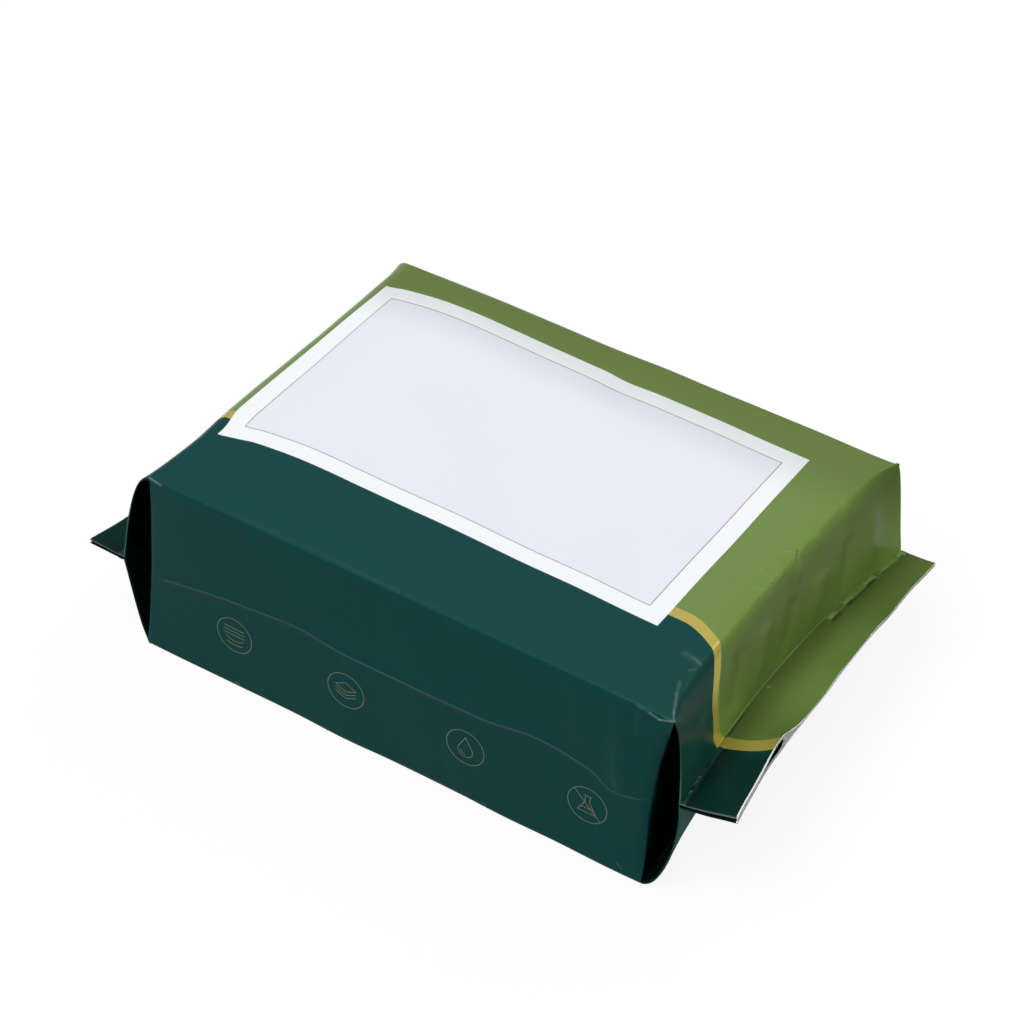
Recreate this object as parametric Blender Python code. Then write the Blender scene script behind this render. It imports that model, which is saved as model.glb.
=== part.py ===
# A sealed soft pack of folded face towels: a printed film tube with tucked side
# gussets, drawn tight round the stack and welded to a flat fin at each end.
# Metres, +Z up, +X along the pack to its right end, -Y towards its printed front.

import bpy
import numpy as np

for thing in list(bpy.data.objects):
    bpy.data.objects.remove(thing, do_unlink=True)

# The wrapped stack
PACK_LENGTH = 0.2040  # along X, between the upright creases at mid height
PACK_WIDTH = 0.1554  # along Y
PACK_HEIGHT = 0.0772  # along Z
FOLD_RADIUS = 0.0018  # of the long folds between top, sides and base
SIDE_BULGE = 0.0008  # how far each long side swells out
TOP_CROWN = 0.0050  # how far the top would swell up at the left end, falling to the right
CROWN_START = 0.20  # the share of the top's length over which it rises from the left end
CROWN_TILT = 0.22  # more at the back and less at the front, by this share
CROWN_POWER = 6  # how suddenly it falls to the long folds

# The right end: top and base film run down and up to a level root
RIGHT_TOP_SPREAD = 0.0043  # how far the upright creases lean out towards the top
RIGHT_FOOT_SPREAD = 0.0002  # and towards the foot
RIGHT_REACH = 0.0091  # from the upright creases to the root, at the corners
RIGHT_HOLLOW = 0.0042  # the root lies this much nearer the stack in the middle
RIGHT_SHOULDER = 0.0072  # the top starts to bend this far before the creases
RIGHT_ROOT_RISE = 0.0032  # root above mid height
RIGHT_ROOT_TWIST = 0.0010  # root higher at the front than at the back, each way
RIGHT_FIN_WIDTH = 0.0170  # from the root to the free edge
RIGHT_FIN_FLARE = 0.0034  # fin wider at the front than at the back, each way
RIGHT_FIN_LIFT = 0.0028  # rise of the free edge above the root
RIGHT_FIN_TWIST = 0.0022  # more at the front and less at the back

# The left end
LEFT_TOP_SPREAD = -0.0010
LEFT_FOOT_SPREAD = 0.0036
LEFT_REACH = 0.0107
LEFT_HOLLOW = 0.0050
LEFT_SHOULDER = 0.0022
LEFT_ROOT_RISE = -0.0036
LEFT_ROOT_TWIST = 0.0003
LEFT_FIN_WIDTH = 0.0144
LEFT_FIN_FLARE = 0.0004
LEFT_FIN_LIFT = -0.0004
LEFT_FIN_TWIST = 0.0003

# The film and its fins
FLAP_THICKNESS = 0.0013  # end flap at a pocket: outer film and tucked gusset
WELD_THICKNESS = 0.0016  # all four layers at the weld
WELD_WIDTH = 0.0026
WELD_RIB = 0.0003  # the pressed line stands this much proud of the fin
SLIT_AT_WELD = 0.0003  # gap between the gusset's halves
SLIT_AT_EDGE = 0.0007
GUSSET_MARGIN = 0.0014  # the outer film runs on this far past the gusset's crease
FIN_EDGE_THICKNESS = 0.0034  # fin at its free edge, at the front and back
FIN_MIDDLE_THICKNESS = 0.0017
THIN_SHARE = 0.25  # of the half width, from the pack's middle
MOUTH_OPENING = 0.0016  # the loose layers stand this much further apart
MOUTH_LENGTH = 0.0170  # each way from the gusset's crease, along Y
PARTING_DEPTH = 0.0045  # the free edge is open this far in, between its two layers
MOUTH_DEPTH = 0.0080  # and this much further in at the mouths

# How finely the film is divided
GUSSET_STEPS = 6
MIDDLE_STEPS = 7
BODY_STEPS = 10
FIN_STEPS = 4
GUSSET_SHARES = np.arange(GUSSET_STEPS + 1) / GUSSET_STEPS

# How full the end film's curve is: shares of the way from the flat to the root
SHOULDER_PULL = 0.55  # along X, where the curve is still level with the flat
PANEL_REACH = 0.85  # along X, where it turns down the end
PANEL_DROP = 0.45  # along Z, at the same place
SHOULDER_POWER = 6  # how suddenly the shoulder ends at the front and back corners
ROOT_PINCH = 0.25  # the last share of that way, where the flaps narrow to the weld

FILM_COLOUR = (0.010, 0.058, 0.055)
FILM_ROUGHNESS = 0.38
SHARP_ANGLE = np.radians(40)  # edges are shaded sharp past this

ROUND_INSET = 1 - np.sqrt(0.5)  # a quarter round's middle lies this share of its radius in
SETTLED = 0.3  # the share of an end over which a long fold narrows to a flap's edge
HALF_WIDTH = PACK_WIDTH / 2
GUSSET_DEPTH = PACK_HEIGHT / 2  # the side film folds in half at mid height
MID_HEIGHT = PACK_HEIGHT / 2

# The stack's middle lies where both fins reach equally far from the origin
RIGHT_OUTREACH = RIGHT_REACH + RIGHT_FIN_WIDTH + abs(RIGHT_FIN_FLARE)
LEFT_OUTREACH = LEFT_REACH + LEFT_FIN_WIDTH + abs(LEFT_FIN_FLARE)
CREASE_CENTRE = (LEFT_OUTREACH - RIGHT_OUTREACH) / 2


class End:
    """One end of the pack. side is +1 for the right end and -1 for the left."""

    def __init__(self, side, top_spread, foot_spread, reach, hollow, shoulder,
                 root_rise, root_twist, fin_width, fin_flare, fin_lift, fin_twist):
        self.side = side
        self.crease_mid = CREASE_CENTRE + side * PACK_LENGTH / 2
        self.top_spread = top_spread
        self.foot_spread = foot_spread
        self.reach = reach
        self.hollow = hollow
        self.shoulder = shoulder
        self.root_height = MID_HEIGHT + root_rise
        self.root_twist = root_twist
        self.fin_width = fin_width
        self.fin_flare = fin_flare
        self.fin_lift = fin_lift
        self.fin_twist = fin_twist

    def crease_x(self, z):
        """The upright crease: out by top_spread at the top, by foot_spread at the foot."""
        above = np.maximum(z / MID_HEIGHT - 1, 0)
        below = np.maximum(1 - z / MID_HEIGHT, 0)
        out = self.top_spread * above**2 + self.foot_spread * below**2
        return self.crease_mid + self.side * out

    def root_bow(self, y):
        """The root lies nearer the stack between the two corners."""
        return self.hollow * (1 - (y / HALF_WIDTH)**2)

    def root_x(self, y):
        return self.crease_mid + self.side * (self.reach - self.root_bow(y))

    def root_z(self, y):
        return self.root_height - self.root_twist * y / HALF_WIDTH

    def bend_x(self, y, z):
        """Where the top or base film leaves the flat, further in away from the corners."""
        set_back = self.shoulder * (1 - np.abs(y / HALF_WIDTH)**SHOULDER_POWER)
        return self.crease_x(z) - self.side * set_back

    def fin_reach(self, y):
        """From the root to the free edge, which bows with it."""
        return self.fin_width - self.fin_flare * y / HALF_WIDTH

    def fin_rise(self, y):
        return self.fin_lift - self.fin_twist * y / HALF_WIDTH


RIGHT = End(1, RIGHT_TOP_SPREAD, RIGHT_FOOT_SPREAD, RIGHT_REACH, RIGHT_HOLLOW, RIGHT_SHOULDER,
            RIGHT_ROOT_RISE, RIGHT_ROOT_TWIST, RIGHT_FIN_WIDTH, RIGHT_FIN_FLARE,
            RIGHT_FIN_LIFT, RIGHT_FIN_TWIST)
LEFT = End(-1, LEFT_TOP_SPREAD, LEFT_FOOT_SPREAD, LEFT_REACH, LEFT_HOLLOW, LEFT_SHOULDER,
           LEFT_ROOT_RISE, LEFT_ROOT_TWIST, LEFT_FIN_WIDTH, LEFT_FIN_FLARE,
           LEFT_FIN_LIFT, LEFT_FIN_TWIST)
SIDE_MID_HEIGHT = (LEFT.root_height + RIGHT.root_height) / 2  # of the gussets' creases


def mix(a, b, t):
    return a + (b - a) * t


def ease(t):
    """0 to 1 with a level start and finish."""
    t = np.clip(t, 0, 1)
    return t * t * (3 - 2 * t)


def end_profile(end, y, t, up):
    """The end film at share t of its way from the flat to the root, and its inward normal.

    up is +1 for the top film and -1 for the base film. Each is a cubic curve in XZ that
    leaves the flat level and meets the root nearly upright.
    """
    flat_z = PACK_HEIGHT if up > 0 else 0.0
    start_x = end.bend_x(y, flat_z)
    root_x = end.root_x(y)
    root_z = end.root_z(y) + up * WELD_THICKNESS / 2
    shoulder_x = mix(start_x, root_x, SHOULDER_PULL)
    panel_x = mix(start_x, root_x, PANEL_REACH)
    xs = [start_x, shoulder_x, panel_x, root_x]
    zs = [flat_z, flat_z, mix(flat_z, root_z, PANEL_DROP), root_z]
    weights = [(1 - t)**3, 3 * t * (1 - t)**2, 3 * t * t * (1 - t), t**3]
    slopes = [(1 - t)**2, 2 * t * (1 - t), t * t]
    x = sum(w * p for w, p in zip(weights, xs))
    z = sum(w * p for w, p in zip(weights, zs))
    dx = sum(s * (b - a) for s, a, b in zip(slopes, xs, xs[1:]))
    dz = sum(s * (b - a) for s, a, b in zip(slopes, zs, zs[1:]))
    length = np.hypot(dx, dz)
    return x, z, up * end.side * dz / length, -up * end.side * dx / length


def mouth_share(y):
    """1 beside a gusset's crease, where the loose layers gape, falling to 0 each way."""
    crease = HALF_WIDTH - GUSSET_DEPTH
    return ease(1 - np.abs(np.abs(y) - crease) / MOUTH_LENGTH)


def fin_thickness(y, run):
    """Thickness of the fin at share run from its root to its free edge."""
    from_edge = np.abs(y) / HALF_WIDTH
    thickening = ease((from_edge - THIN_SHARE) / (1 - THIN_SHARE))
    at_edge = mix(FIN_MIDDLE_THICKNESS, FIN_EDGE_THICKNESS, thickening)
    return mix(WELD_THICKNESS, at_edge + MOUTH_OPENING * mouth_share(y), run)


def across(corner):
    """Y of the top film's points, front to back, with the gussets' points paired to them."""
    zone = GUSSET_DEPTH + GUSSET_MARGIN
    front = -HALF_WIDTH + zone * np.arange(GUSSET_STEPS + 1) / GUSSET_STEPS
    front[0] += corner
    middle = np.linspace(front[-1], -front[-1], MIDDLE_STEPS + 1)[1:-1]
    return np.concatenate([front, middle, -front[::-1]])


def ring(film, gusset, fold, corner):
    """One closed ring of film: top, back gusset, base, front gusset.

    film gives x and z of the top film at a list of y, or of the base film with up = -1.
    gusset gives the half of the side film next to it, from the fold in to the gusset's
    crease, as x, depth and z, for the back or, with mirror = -1, the front. fold gives the
    middle of the rounded fold between the two as x, depth and z. corner is how much of the
    film's width the fold takes.
    """
    ys = across(corner)
    films = []
    for up in (1, -1):
        x, z = film(ys, up)
        films.append(np.column_stack([x, ys, np.full_like(ys, 0) + z]))
    sides = []
    for mirror in (1, -1):
        halves = []
        for up in (1, -1):
            rows = [np.append(a, b) for a, b in zip(fold(up, mirror), gusset(up, mirror))]
            rows[1] = mirror * (HALF_WIDTH - rows[1])
            halves.append(np.column_stack(rows))
        sides.append(np.vstack([halves[0], halves[1][-2::-1]]))
    return np.vstack([films[0], sides[0], films[1][::-1], sides[1][::-1]])


def crown(y, share):
    """How far the top film swells up, at a share of the way from left to right."""
    from_middle = y / HALF_WIDTH
    along = ease(share / CROWN_START) * (1 - share)
    return TOP_CROWN * along * (1 - from_middle**CROWN_POWER) * (1 + CROWN_TILT * from_middle)


def body_ring(share):
    """A ring round the stack itself, at a share of the way from left to right."""
    swell = SIDE_BULGE * 4 * share * (1 - share)

    def film(y, up):
        z = PACK_HEIGHT if up > 0 else 0.0
        x = mix(LEFT.bend_x(y, z), RIGHT.bend_x(y, z), share)
        return x, z + (crown(y, share) if up > 0 else 0.0)

    def gusset(up, mirror):
        fold_z = PACK_HEIGHT - FOLD_RADIUS if up > 0 else FOLD_RADIUS
        z = mix(fold_z, SIDE_MID_HEIGHT, GUSSET_SHARES)
        x = mix(LEFT.crease_x(z), RIGHT.crease_x(z), share)
        return x, -swell * np.sin(np.pi * z / PACK_HEIGHT), z

    def fold(up, mirror):
        inset = ROUND_INSET * FOLD_RADIUS
        z = PACK_HEIGHT - inset if up > 0 else inset
        return mix(LEFT.crease_x(z), RIGHT.crease_x(z), share), inset, z

    return ring(film, gusset, fold, FOLD_RADIUS)


def end_ring(end, t):
    """A ring round the tucked end, at share t of the way from the creases to the root.

    The side film goes in along the flap to the depth of the tuck, t of the gusset's depth,
    and then along the stack's end to the gusset's own crease at mid height.
    """
    flat_edge = ease(t / SETTLED)
    thick = mix(FOLD_RADIUS, FLAP_THICKNESS, flat_edge)
    tuck = t * GUSSET_DEPTH

    def film(y, up):
        return end_profile(end, y, t, up)[:2]

    def inner(y, up):
        x, z, nx, nz = end_profile(end, y, t, up)
        at_root = ease(1 - (1 - t) / ROOT_PINCH)
        into_x = mix(thick * nx, -end.side * FLAP_THICKNESS, at_root)
        into_z = mix(thick * nz, -up * (WELD_THICKNESS - SLIT_AT_WELD) / 2, at_root)
        return x + into_x, z + into_z

    def gusset(up, mirror):
        on_flap = GUSSET_SHARES <= t + 1e-9
        depth = np.minimum(GUSSET_SHARES, t) * GUSSET_DEPTH
        depth[0] += thick / 2 * flat_edge
        flap_x, flap_z = inner(mirror * (HALF_WIDTH - depth), up)
        deep_y = mirror * (HALF_WIDTH - tuck)
        deep_x, deep_z = inner(deep_y, up)
        crease_z = mix(SIDE_MID_HEIGHT, end.root_z(deep_y), t)
        crease_x = mix(end.crease_x(crease_z), end.root_x(deep_y), t)
        down = np.clip((GUSSET_SHARES - t) / max(1 - t, 1e-6), 0, 1)
        z = mix(deep_z, crease_z, down)
        upright = end.crease_x(z) - mix(end.crease_x(deep_z), end.crease_x(crease_z), down)
        x = mix(deep_x, crease_x - end.side * FLAP_THICKNESS * t, down) + upright * (1 - t)
        x = np.where(on_flap, flap_x, x)
        z = np.where(on_flap, flap_z, z)
        z[-1] = crease_z
        return x, depth, z

    def fold(up, mirror):
        x, z, nx, nz = end_profile(end, mirror * HALF_WIDTH, t, up)
        into = mix(ROUND_INSET, 0.5, flat_edge) * thick
        return x + into * nx, ROUND_INSET * thick * (1 - flat_edge), z + into * nz

    return ring(film, gusset, fold, mix(FOLD_RADIUS, thick / 2, flat_edge))


def fin_ring(end, run):
    """A ring round the flat fin, at share run from its root to its free edge."""
    slit = mix(SLIT_AT_WELD, SLIT_AT_EDGE, run)
    drawn_in = FLAP_THICKNESS * (1 - run)**4  # the tucked film starts behind the root

    def middle(y):
        x = end.root_x(y) + end.side * end.fin_reach(y) * run
        return x, end.root_z(y) + end.fin_rise(y) * run

    def film(y, up):
        x, z = middle(y)
        across_weld = 2 * run * end.fin_reach(y) / WELD_WIDTH - 1
        rib = WELD_RIB * np.clip(1 - across_weld**2, 0, 1)
        return x, z + up * (fin_thickness(y, run) / 2 + rib)

    def gusset(up, mirror):
        depth = GUSSET_SHARES * GUSSET_DEPTH
        depth[0] += FLAP_THICKNESS / 2
        x, z = middle(mirror * (HALF_WIDTH - depth))
        z[:-1] += up * slit / 2
        return x - end.side * drawn_in, depth, z

    def fold(up, mirror):
        x, z = middle(mirror * HALF_WIDTH)
        return x, 0.0, z + up * (fin_thickness(HALF_WIDTH, run) + slit) / 4

    return ring(film, gusset, fold, FLAP_THICKNESS / 2)


# Places of the films in a ring
LAST_ACROSS = 2 * GUSSET_STEPS + MIDDLE_STEPS
SIDE_POINTS = 2 * GUSSET_STEPS + 3
BACK = LAST_ACROSS + 1
BASE = BACK + SIDE_POINTS
FRONT = BASE + LAST_ACROSS + 1
RING = FRONT + SIDE_POINTS


def base_place(k):
    """Place in a ring of the base film's point below the top film's point k."""
    return BASE + LAST_ACROSS - k


def leaf_faces():
    """Faces that close the gusseted parts of a free edge, as seen looking back along -X."""
    faces = [(0, RING - 1, RING - 2), (FRONT + 1, FRONT, base_place(0))]
    faces += [(LAST_ACROSS, BACK + 1, BACK), (BASE - 2, base_place(LAST_ACROSS), BASE - 1)]
    for k in range(GUSSET_STEPS):
        far = LAST_ACROSS - k
        front_up, front_down = RING - 2 - k, FRONT + 1 + k
        back_up, back_down = BACK + 1 + k, BASE - 2 - k
        faces.append((k, front_up, front_up - 1, k + 1))
        faces.append((front_down, base_place(k), base_place(k + 1), front_down + 1))
        faces.append((far - 1, back_up + 1, back_up, far))
        faces.append((back_down - 1, base_place(far - 1), base_place(far), back_down))
    return faces


def parting_points(end, ring_points):
    """The bottom of the groove between the two layers of a free edge."""
    k = np.arange(GUSSET_STEPS, LAST_ACROSS - GUSSET_STEPS + 1)
    middle = (ring_points[k] + ring_points[base_place(k)]) / 2
    y = middle[:, 1]
    depth = PARTING_DEPTH + MOUTH_DEPTH * mouth_share(y)
    middle[:, 0] -= end.side * depth
    middle[:, 2] -= end.fin_rise(y) * depth / end.fin_reach(y)
    return middle


def parting_faces(first):
    """Faces of that groove. first is the place of its first point."""
    front, back = GUSSET_STEPS, LAST_ACROSS - GUSSET_STEPS
    front_crease, back_crease = FRONT + GUSSET_STEPS + 1, BACK + GUSSET_STEPS + 1
    last = first + back - front
    faces = [(front, front_crease, first), (front_crease, base_place(front), first)]
    faces += [(back_crease, back, last), (base_place(back), back_crease, last)]
    for k in range(front, back):
        m = first + k - front
        faces.append((k, m, m + 1, k + 1))
        faces.append((m, base_place(k), base_place(k + 1), m + 1))
    return faces


def pack_rings():
    """All rings from the left free edge along to the right one."""
    ends = []
    for end in (LEFT, RIGHT):
        weld_end = WELD_WIDTH / end.fin_width
        runs = [weld_end / 2, *np.linspace(weld_end, 1, FIN_STEPS)]
        tucked = [end_ring(end, t) for t in GUSSET_SHARES]
        ends.append(tucked + [fin_ring(end, run) for run in runs])
    body = [body_ring(share) for share in np.arange(1, BODY_STEPS) / BODY_STEPS]
    return ends[0][::-1] + body + ends[1]


def film_material():
    """Smooth printed plastic film."""
    material = bpy.data.materials.new("printed_film")
    material.use_nodes = True
    shader = material.node_tree.nodes["Principled BSDF"]
    shader.inputs["Base Color"].default_value = (*FILM_COLOUR, 1)
    shader.inputs["Roughness"].default_value = FILM_ROUGHNESS
    shader.inputs["Metallic"].default_value = 0.0
    material.diffuse_color = (*FILM_COLOUR, 1)
    return material


def add_towel_pack():
    rings = pack_rings()
    faces = []
    for i in range(len(rings) - 1):
        for j in range(RING):
            near, after = i * RING + j, i * RING + (j + 1) % RING
            faces.append((near, near + RING, after + RING, after))
    points = np.concatenate(rings)
    for end, ring_points, first in ((LEFT, rings[0], 0), (RIGHT, rings[-1], len(points) - RING)):
        groove = parting_points(end, ring_points)
        closing = leaf_faces() + parting_faces(len(points) - first)
        for face in closing:
            placed = tuple(first + k for k in face)
            faces.append(placed if end is RIGHT else placed[::-1])
        points = np.concatenate([points, groove])
    mesh = bpy.data.meshes.new("towel_pack")
    mesh.from_pydata(points.tolist(), [], faces)
    mesh.materials.append(film_material())
    mesh.shade_smooth()
    mesh.set_sharp_from_angle(angle=SHARP_ANGLE)
    pack = bpy.data.objects.new("towel_pack", mesh)
    bpy.context.scene.collection.objects.link(pack)


add_towel_pack()
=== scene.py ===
import bpy
import numpy as np
from mathutils import Matrix, Vector


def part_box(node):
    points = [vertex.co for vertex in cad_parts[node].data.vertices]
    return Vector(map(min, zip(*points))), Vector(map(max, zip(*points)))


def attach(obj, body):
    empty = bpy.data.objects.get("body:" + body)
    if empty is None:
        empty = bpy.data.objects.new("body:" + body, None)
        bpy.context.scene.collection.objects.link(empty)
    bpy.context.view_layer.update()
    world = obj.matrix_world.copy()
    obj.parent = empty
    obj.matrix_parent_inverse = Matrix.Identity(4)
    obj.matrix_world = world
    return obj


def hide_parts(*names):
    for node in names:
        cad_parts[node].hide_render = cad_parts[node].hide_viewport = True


# A sealed soft pack of face towels: printed film round a folded stack, with tucked corner
# pockets and a flat welded fin at each end. Lengths here are millimetres until a mesh is made.

print("loading the packed model")
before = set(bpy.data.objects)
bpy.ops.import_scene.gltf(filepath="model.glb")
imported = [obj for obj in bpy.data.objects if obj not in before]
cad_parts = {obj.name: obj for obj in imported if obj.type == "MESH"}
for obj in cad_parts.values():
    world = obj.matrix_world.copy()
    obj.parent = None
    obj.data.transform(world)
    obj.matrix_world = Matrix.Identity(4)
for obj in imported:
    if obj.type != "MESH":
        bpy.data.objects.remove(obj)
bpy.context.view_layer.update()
mm = 0.001
tiny = 1e-9
packLow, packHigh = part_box("towel_pack")
rightTip = packHigh.x / mm  # how far the fins reach
leftTip = packLow.x / mm


def mix(a, b, t):
    # a at t = 0, b at t = 1, straight between
    return a + (b - a) * t


def ease(t):
    # 3t^2 - 2t^3, level at 0 and 1
    t = np.clip(t, 0, 1)
    return t * t * (3 - 2 * t)


def curveThrough(points, at):
    # cubics through the (place, value) points, which never overshoot: the slope at a point is
    # 2ab / (a + b) of the rises a and b on its two sides, and 0 at a peak or a dip
    places, values = np.array(points, float).T
    rises = np.diff(values) / np.diff(places)
    before, after = rises[:-1], rises[1:]
    sameWay = before * after > 0
    inner = np.where(sameWay, 2 * before * after / np.where(sameWay, before + after, 1.0), 0.0)
    slopes = np.concatenate([rises[:1], inner, rises[-1:]])
    at = np.clip(at, places[0], places[-1])
    k = np.clip(np.searchsorted(places, at, side="right") - 1, 0, len(places) - 2)
    gap = places[k + 1] - places[k]
    t = (at - places[k]) / gap
    start = (1 + 2 * t) * (1 - t)**2 * values[k] + t * (1 - t)**2 * gap * slopes[k]
    return start + t * t * (3 - 2 * t) * values[k + 1] + t * t * (t - 1) * gap * slopes[k + 1]


# Pack of towels: the block that the film is drawn round
packShape = {
    "width": 155.4,  # across, over the stack
    "height": 77.2,
    "foldRadius": 1.5,  # of the long folds
    "backRise": 1.1,  # the stack is this much higher along its back
    "foldHold": 14.0,  # the long folds hold the side film straight this far from them
    "sideBulge": 0.8,
    "crownAlong": ((0, 0), (0.03, 1.3), (0.06, 2.1), (0.1, 2.9), (0.14, 3.3), (0.2, 3.4), (0.28, 3.1),
                   (0.36, 2.55), (0.44, 2.3), (0.56, 1.7), (0.7, 1.1), (0.82, 0.4), (0.92, 0.05), (1, 0)),
    "crownTilt": 0.25,  # the top swells more towards the back
    "crownLag": 0.07,  # and starts this much later along the front, as a share of the length
    "crownPower": 10,  # how suddenly it falls to the long folds
    "waveHeight": 0.16,  # slack of the film
    "waveCount": 26,
    "shortestWave": 34,
    "longestWave": 95,
    "waveSeed": 7,
}

# One layer of film, and how it is folded and welded
filmShape = {
    "thickness": 0.16,
    "flap": 0.9,  # outer film and tucked gusset together, at the edge of a pocket
    "weld": 1.5,  # all four layers at the weld
    "weldWidth": 2.4,
    "slitAtWeld": 0.3,
    "slitAtEdge": 0.5,
    "slitRound": 24,  # how suddenly the slit closes at the gusset's crease
    "gussetMargin": 4.6,  # the outer film runs on this far past the gusset's crease
    "pinch": 0.25,  # the last share of the way to the root, where the flaps close up
    "settled": 0.3,  # the share over which a long fold narrows to a flap's edge
    "cavityShare": 0.012,  # how far in the open free edge goes
    "tautFrom": 0.7,  # share of the half width from which the end film is pulled taut
}

# Ends: heights and depths along the upright creases, the root and the fin
rightEnd = {
    "side": 1,
    "outreach": 29.5,  # from the upright creases to the tip of the fin
    "lean": ((0, -2.0), (27, -2.0), (51, -0.7), (63, 0.9), (77.2, 3.6)),
    "reach": 9.1,
    "hollow": 5.8,  # the root lies this much nearer the stack in the middle
    "shoulder": 7.2,
    "shoulderPower": 6,
    "rootRise": 3.2,
    "rootTwist": 1.0,
    # height of the weld's rib, with its raised tabs
    "weldRib": ((-77.7, 0.5), (-71, 0.55), (-69, 0.3), (-65, 0.5), (-61, 0.55), (-59, 0.3), (-52, 0.45),
                (-48, 0.35), (-45, 0.1), (28.2, 0.1), (29.6, 0.5), (33.6, 0.5), (34.6, 0.25), (38.6, 0.3),
                (39.5, 0.65), (43.2, 0.6), (44.2, 0.4), (52, 0.4), (52.8, 0.75), (57.6, 0.7), (58.6, 0.25),
                (61.6, 0.3), (62.5, 0.45), (70.6, 0.4), (71.3, 0.2), (72, 0.6), (75, 0.55), (76.3, 0.2)),
    "finReach": ((-77.7, 20.2), (-64, 19.7), (-45, 18.7), (-21.5, 19.8), (-8, 19.7), (9.5, 18.9),
                 (41, 17.05), (77.7, 13.4)),
    "gussetDeeper": 3.0,  # the gusset's crease runs this much deeper at the free edge
    "finRise": ((-77.7, 4.8), (-50, 3.2), (-20, 2.2), (20, 2.2), (77.7, 0.8)),
    "topSwell": ((-77.7, 0), (77.7, 0)),  # the slack top film stands out this much further
    "topCurve": (0.55, 0.0, 0.88, 0.5),  # shares of reach and drop at the curve's two handles
    "topCurveBack": (0.14, 0.06, 0.62, 0.6),  # and at the back edge, where the film is taut
    "baseCurve": (0.54, 0.02, 1.2, 0.58),
    "rollAlong": 4.2,  # the front film rolls this softly into the pocket
    "rollIn": 1.9,
    # along the free edge: top film above the slit's middle, and base film below it
    "edgeTop": ((-77.7, 2.3), (-60, 2.1), (-46, 1.3), (-39, 0.9), (-31, 0.4), (20, 0.3), (33, 0.35),
                (39, 0.45), (60, 0.6), (77.7, 0.8)),
    "edgeBase": ((-77.7, 1.3), (-60, 1.1), (-45, 0.9), (-39, 0.8), (-31, 0.35), (20, 0.3), (33, 0.35),
                 (39, 0.4), (77.7, 0.5)),
    # loose film lifts here, near the free edge alone: top film, and upper half of the slit
    "mouthTop": ((-60, 0), (-53, 0.7), (-47, 2.6), (-41, 4.6), (-37, 5.2), (-32, 3.2), (-25, 0.9), (-17, 0),
                 (-8, 0), (-4, 0.5), (5, 0.7), (12, 0), (26, 0), (31, 0.6), (37, 0.7), (43, 0)),
    "mouthSlit": ((-60, 0), (-53, 0.7), (-47, 2.7), (-41, 4.7), (-37, 5.2), (-30, 0)),
}
leftEnd = {
    "side": -1,
    "outreach": 25.5,
    "lean": ((0, 1.4), (40, -1.6), (77.2, -2.8)),
    "reach": 10.7,
    "hollow": 5.0,
    "shoulder": 2.2,
    "shoulderPower": 6,
    "rootRise": -3.6,
    "rootTwist": 0.3,
    "weldRib": ((-77.7, 0.4), (-62, 0.3), (-58, 0.5), (-50, 0.2), (30, 0.15), (44, 0.45), (60, 0.25),
                (77.7, 0.4)),
    "finReach": ((-77.7, 14.8), (0, 14.4), (77.7, 14.0)),
    "finRise": ((-77.7, -0.2), (0, -0.6), (77.7, -0.7)),
    "gussetDeeper": 0.0,
    "topSwell": ((-77.7, 0), (-60, 0.2), (-31, 2.2), (-11, 3.0), (10, 3.2), (25, 2.4), (40, 2.0), (56, 1.7),
                 (64, 1.3), (71, 0.2), (77.7, 0)),
    "topCurve": (0.55, 0.0, 0.75, 0.42),
    "topCurveBack": (0.55, 0.0, 0.75, 0.42),
    "baseCurve": (0.35, 0.25, 0.66, 0.64),
    "rollAlong": 1.2,
    "rollIn": 0.7,
    "edgeTop": ((-77.7, 1.4), (-39, 0.9), (-29, 0.4), (29, 0.4), (39, 0.9), (77.7, 1.4)),
    "edgeBase": ((-77.7, 1.1), (-39, 0.8), (-29, 0.35), (29, 0.35), (39, 0.8), (77.7, 1.1)),
    "mouthTop": ((-50, 0), (-39, 0.8), (-30, 0), (30, 0), (39, 0.8), (50, 0)),
    "mouthSlit": ((-50, 0), (-39, 0.7), (39, 0.7), (50, 0)),
}

# How finely the film is divided
filmGrid = {
    "gusset": 36,  # points from a long fold in to the gusset's crease
    "middle": 50,
    "corner": 7,
    "body": 72,
    "fin": 22,
    "cavity": 8,
    "roll": 7,  # over the roll into a pocket
    "sharpAngle": 50,
}

halfWidth = packShape["width"] / 2
packHeight = packShape["height"]
midHeight = packHeight / 2
tuckDepth = packHeight / 2  # the side film folds in half at mid height
for end, tip in ((rightEnd, rightTip), (leftEnd, leftTip)):
    end["creaseMid"] = tip - end["side"] * end["outreach"]
    end["rootHeight"] = midHeight + end["rootRise"]
sideMid = (leftEnd["rootHeight"] + rightEnd["rootHeight"]) / 2  # the gussets' creases


def creaseX(end, z):
    # the upright crease, leaning out with height as its curve says
    return end["creaseMid"] + end["side"] * curveThrough(end["lean"], z)


def rootX(end, y):
    # the root bows towards the stack: reach less hollow times 1 - (y / halfWidth)^2
    bow = end["hollow"] * (1 - (y / halfWidth)**2)
    return end["creaseMid"] + end["side"] * (end["reach"] - bow)


def rootZ(end, y):
    # the root's height, less its twist times y / halfWidth
    return end["rootHeight"] - end["rootTwist"] * y / halfWidth


def bendX(end, y, z):
    # where the film leaves the flat, further in away from the corners
    setBack = end["shoulder"] * (1 - np.abs(y / halfWidth)**end["shoulderPower"])
    return creaseX(end, z) - end["side"] * setBack


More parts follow.
